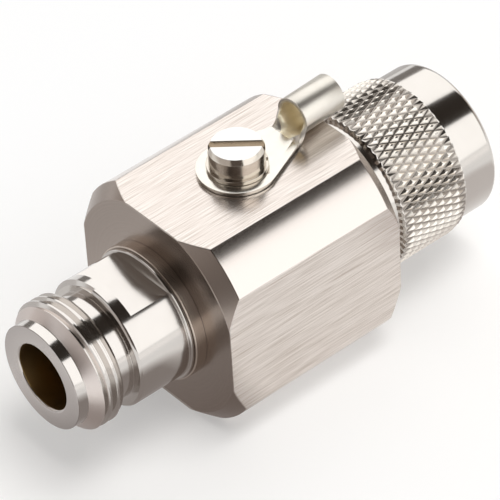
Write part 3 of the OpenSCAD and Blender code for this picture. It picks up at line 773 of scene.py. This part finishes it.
def makeLug(size):
    near = 5 * weld
    level = size["middle"] * mm
    bpy.ops.object.select_all(action="DESELECT")
    bpy.ops.mesh.primitive_circle_add(vertices=size["points"], radius=size["hole"] * mm, fill_type="NOTHING",
                                      location=(0, 0, level))
    obj = settle(named("ringLug"))
    bpy.ops.object.mode_set(mode="EDIT")
    bpy.ops.mesh.select_all(action="SELECT")
    grow = size["ring"] / size["hole"]
    bpy.ops.mesh.extrude_edges_move()
    bpy.ops.transform.resize(value=(grow, grow, 1), center_override=(0, 0, level))
    bpy.ops.object.mode_set(mode="OBJECT")
    mesh = obj.data
    rim = (size["ring"] - size["rimBand"]) * mm
    reachX = math.cos(math.radians(size["tangent"])) * size["ring"] * mm - weld
    onRim = [math.hypot(v.co.x, v.co.y) > rim and v.co.x > reachX for v in mesh.vertices]
    count = sum(onRim)
    for p in mesh.polygons:
        p.select = False
    for v in mesh.vertices:
        v.select = onRim[v.index]
    for e in mesh.edges:
        e.select = onRim[e.vertices[0]] and onRim[e.vertices[1]]
    bpy.ops.object.mode_set(mode="EDIT")
    bpy.ops.mesh.select_mode(type="EDGE")
    bpy.ops.mesh.extrude_edges_move()     # tongue
    spread = size["neckHalf"] / (math.sin(math.radians(size["tangent"])) * size["ring"])
    bpy.ops.transform.resize(value=(0, spread, 1), center_override=(size["neckStart"] * mm, 0, level))
    bpy.ops.mesh.select_all(action="DESELECT")
    mouth = Vector((size["mouth"], 0, size["barrelHeight"])) * mm
    bpy.ops.mesh.primitive_circle_add(vertices=2 * (count - 1), radius=size["barrel"] * mm,
                                      fill_type="NOTHING", location=mouth, rotation=(0, math.pi / 2, 0))
    length = alongX * (size["barrelEnd"] - size["mouth"]) * mm
    bpy.ops.mesh.extrude_edges_move(TRANSFORM_OT_translate={"value": length})
    bpy.ops.object.mode_set(mode="OBJECT")
    for p in mesh.polygons:
        p.select = False
    onEnds = []
    for v in mesh.vertices:               # end of the tongue and lower half of the mouth
        onTongue = abs(v.co.x - size["neckStart"] * mm) < near
        onMouth = abs(v.co.x - mouth.x) < near and v.co.z < mouth.z + near
        onEnds.append(1 if onTongue else 2 if onMouth else 0)
        v.select = bool(onEnds[-1])
    for e in mesh.edges:
        a, b = (onEnds[i] for i in e.vertices)
        e.select = a == b and a > 0
    bpy.ops.object.mode_set(mode="EDIT")
    bpy.ops.mesh.select_mode(type="EDGE")
    bpy.ops.mesh.bridge_edge_loops(number_cuts=size["curl"], interpolation="LINEAR")
    faceOut()
    bpy.ops.object.modifier_add(type="SOLIDIFY")
    step = obj.modifiers[-1]
    step.thickness = size["sheet"] * mm
    step.offset = 0
    bpy.ops.object.modifier_apply(modifier=step.name)
    bpy.ops.object.mode_set(mode="EDIT")
    faceOut()
    softenEdges(obj, size["edge"], size["edgeAngle"])
    obj.rotation_euler = (0, 0, math.radians(size["turn"]))
    return settle(obj)


dress(makeLug(lugSize), "ring_lug", "lug", finishes["tin"], lugSize["smooth"])

# plug over the gas tube, flush with the back flat
plugSize = {
    "inner": 8.46, "thread": 5.0, "seat": 11.3, "head": 6.0, "face": 12.48, "seal": 1.1, "sealDepth": 0.9,
    "slot": 1.6, "slotDepth": 0.8, "slotReach": 8.0, "past": 1.0, "edge": 0.08, "edgeAngle": 40.0,
    "pitch": 1.0, "root": 4.5, "tipFlat": 0.12, "runIn": 1.2, "runOut": 0.1, "over": 0.08,
    "steps": 96, "threadSteps": 72, "smooth": 20.0,
}


def makePlug(size):
    face = size["face"]
    sealStart = size["seat"] - size["seal"]
    sealRoot = size["thread"] - size["sealDepth"]
    outline = [(size["inner"], 0), (size["inner"], size["thread"]), (sealStart, size["thread"]),
               (sealStart, sealRoot), (size["seat"], sealRoot), (size["seat"], size["head"]),
               (face, size["head"]), (face, 0)]
    obj = turned("tubePlug", outline, "tube", size["steps"])
    reach = size["slotReach"]
    half = size["slot"] / 2
    slot = block((-reach, face - size["slotDepth"], lineHeight - half),
                 (reach, face + size["past"], lineHeight + half))
    combine(obj, slot)
    softenEdges(obj, size["edge"], size["edgeAngle"])
    tool = threadTool("tube", size["inner"] - size["runIn"], sealStart - size["runOut"], size["pitch"],
                      size["root"], size["thread"] + size["over"], size["tipFlat"], size["threadSteps"])
    combine(obj, tool)
    return obj


dress(makePlug(plugSize), "tube_plug", "tube_closure",
      finishes["tubePlug"], plugSize["smooth"])

# studio: pale floor, two long soft panels, flags and cards round them, lamp overhead for the floor
studio = {
    "floor": 6.0, "floorGap": 0.00002, "worldLight": 0.04, "worldMirror": 0.8, "panelLight": 1.5,
    "lampPlace": (0.20, -0.30, 1.25), "lampSize": (0.9, 0.7), "lampPower": 12.0,
}
floorLook = {
    "colour": (0.93, 0.91, 0.885, 1), "halfLength": 30.0, "near": 14.0, "far": 55.0,
    "nearVeil": 0.34, "farVeil": 0.88,
}
# each card: angles from straight up toward the front, ends along X, distance, brightness and tint
cards = {
    "backPanel": {"span": (-70.0, -5.0), "ends": (0.08, 2.0), "reach": 1.0, "level": studio["panelLight"],
                  "tint": (1, 0.995, 0.985, 1)},
    "frontPanel": {"span": (36.5, 89.0), "ends": (-0.32, 1.05), "reach": 1.0, "level": studio["panelLight"],
                   "tint": (1, 0.995, 0.985, 1)},
    "topFlag": {"span": (-6.0, 37.5), "ends": (-1.5, 2.2), "reach": 1.1, "level": 0.032,
                "tint": (1, 0.8, 0.65, 1)},
    "cameraFlag": {"span": (15.0, 98.0), "ends": (-2.05, -0.32), "reach": 1.05, "level": 0.10,
                   "tint": (1, 0.80, 0.70, 1)},
    "leftCard": {"span": (-100.0, -58.0), "ends": (-2.6, 0.08), "reach": 1.05, "level": 0.60,
                 "tint": (1, 0.93, 0.89, 1)},
    "leftFlag": {"span": (-60.0, -4.0), "ends": (-0.95, 0.08), "reach": 1.08, "level": 0.20,
                 "tint": (1, 0.86, 0.77, 1)},
    "backFlag": {"span": (-96.0, -70.0), "ends": (0.08, 2.2), "reach": 1.05, "level": 0.24,
                 "tint": (1, 0.93, 0.88, 1)},
}
# floor cards are seen only in the metal: the dim ones are painted shadow on the floor round the part, the
# bright front one a painted pool of light
# each floor card: ends in X and in Y, width of its soft edges, height over the floor, brightness and tint
floorCards = {
    "jackShade": {"x": (-0.042, -0.004), "y": (-0.042, 0.014), "soft": (0.008, 0.020), "height": 0.0004,
                  "level": 0.31, "tint": (1, 0.89, 0.84, 1)},
    "jackBackShade": {"x": (-0.110, -0.002), "y": (0.012, 0.170), "soft": (0.012, 0.014), "height": 0.0004,
                 "level": 0.66, "tint": (1, 0.975, 0.96, 1)},
    "nutBackShade": {"x": (0.026, 0.110), "y": (0.014, 0.110), "soft": (0.012, 0.014), "height": 0.0004,
                "level": 0.58, "tint": (1, 0.97, 0.95, 1)},
    "frontGlow": {"x": (-0.40, 0.60), "y": (-1.0, -0.070), "soft": (0.10, 0.045), "height": 0.0003,
                  "level": 1.2, "tint": (1, 0.985, 0.97, 1)},
    "nutShade": {"x": (0.020, 0.056), "y": (-0.050, 0.004), "soft": (0.008, 0.017), "height": 0.0004,
                 "level": 0.72, "tint": (1, 0.95, 0.93, 1)},
}
# each end card: place along X, ends in Y, height, brightness and tint
endCards = {
    "leftEnd": {"at": -2.6, "y": (-1.6, 1.4), "height": 1.8, "level": 0.55, "tint": (1, 0.92, 0.87, 1)},
    "rightEnd": {"at": 2.3, "y": (-1.4, 1.4), "height": 1.8, "level": 0.55, "tint": (1, 0.9, 0.82, 1)},
}


def glow(name, card):
    f = Finish(name)
    return f.lit(f.node("ShaderNodeEmission", None, {"Color": card["tint"], "Strength": card["level"]}))


def softGlow(name, card):                 # fades out toward its edges
    f = Finish(name)
    spot = f.parts(f.spot())
    full = 1.0
    for k, key in enumerate("xy"):
        low, high = (end / mm for end in card[key])
        wide = card["soft"][k] / mm
        full = full * ((spot[k] - low) / wide).least((high - spot[k]) / wide).held()
    light = f.node("ShaderNodeEmission", None, {"Color": card["tint"], "Strength": card["level"]})
    clear = f.node("ShaderNodeBsdfTransparent")
    return f.lit(f.node("ShaderNodeMixShader", None, {"Fac": full, 1: clear, 2: light}))


def hang(name, size, place, turn, finish, lights=False):
    bpy.ops.object.select_all(action="DESELECT")
    bpy.ops.mesh.primitive_plane_add(size=1, location=place, rotation=turn)
    obj = named(name)
    obj.scale = (size[0], size[1], 1)
    settle(obj)
    obj.data.materials.append(finish)
    obj.visible_camera = False
    obj.visible_diffuse = lights
    obj.visible_shadow = lights


# white away from the part, with the shadow kept near it, and the same for camera and metal
def paleFloor(look):
    f = Finish("paleFloor")
    x, y = f.parts(f.spot())[:2]
    past = (abs(x) - look["halfLength"]).most(0.0)
    away = (((past * past + y * y) ** 0.5 - look["near"]) / (look["far"] - look["near"])).held()
    veil = look["nearVeil"] + away * away * (3 - 2 * away) * (look["farVeil"] - look["nearVeil"])
    seen, mirrored, through = f.rays()
    paint = f.node("ShaderNodeBsdfDiffuse", None, {"Color": look["colour"]})
    white = f.node("ShaderNodeEmission", None, {"Color": (1, 1, 1, 1), "Strength": 1.0})
    share = seen.most(mirrored).most(through) * veil
    return f.lit(f.node("ShaderNodeMixShader", None, {"Fac": share, 1: paint, 2: white}))


bpy.ops.object.select_all(action="DESELECT")
bpy.ops.mesh.primitive_plane_add(size=studio["floor"], location=(0, 0, -studio["floorGap"]))
floor = named("floor")
floor.data.materials.append(paleFloor(floorLook))
for name, card in cards.items():
    left, right = card["ends"]
    middle = math.radians(sum(card["span"]) / 2)
    half = math.radians(card["span"][1] - card["span"][0]) / 2
    reach = card["reach"]
    place = ((left + right) / 2, -reach * math.sin(middle), lineHeight * mm + reach * math.cos(middle))
    size = (right - left, 2 * reach * math.tan(half))
    hang(name, size, place, (middle, 0, 0), glow(name, card), name.endswith("Panel"))
for name, card in floorCards.items():
    place = (sum(card["x"]) / 2, sum(card["y"]) / 2, card["height"])
    size = (card["x"][1] - card["x"][0], card["y"][1] - card["y"][0])
    hang(name, size, place, (0, 0, 0), softGlow(name, card))
for name, card in endCards.items():
    place = (card["at"], sum(card["y"]) / 2, card["height"] / 2)
    size = (card["height"], card["y"][1] - card["y"][0])
    hang(name, size, place, (0, math.pi / 2, 0), glow(name, card))
bpy.ops.object.select_all(action="DESELECT")
bpy.ops.object.light_add(type="AREA", location=studio["lampPlace"])
lamp = bpy.context.object
lamp.rotation_euler = Vector(studio["lampPlace"]).to_track_quat("Z", "Y").to_euler()
lamp.name = "floorLamp"
lamp.data.shape = "RECTANGLE"
lamp.data.size, lamp.data.size_y = studio["lampSize"]
lamp.data.energy = studio["lampPower"]
lamp.visible_glossy = False

sky = Finish("studioWorld", bpy.data.worlds)     # white to the camera, dim as a light
seen, mirrored, through = sky.rays()
strength = seen.most(through).most(mirrored * studio["worldMirror"]).most(studio["worldLight"])
dome = sky.node("ShaderNodeBackground", None, {"Color": (1, 1, 1, 1), "Strength": strength})
sky.node("ShaderNodeOutputWorld", None, {"Surface": dome})
bpy.context.scene.world = sky.holder

cameraView = {
    "place": (-0.215269, -0.269368, 0.312718), "turn": (48.9727, 2.6398, -41.0613),
    "lens": 293.714, "sensor": 36.0, "clip": (0.01, 20.0),
}
turn = [math.radians(a) for a in cameraView["turn"]]
bpy.ops.object.camera_add(location=cameraView["place"], rotation=turn)
camera = bpy.context.object
camera.name = "photoCamera"
camera.data.lens = cameraView["lens"]
camera.data.sensor_width = cameraView["sensor"]
camera.data.clip_start, camera.data.clip_end = cameraView["clip"]
bpy.context.scene.camera = camera
bpy.context.scene.view_settings.view_transform = "Standard"
print("studio ready")
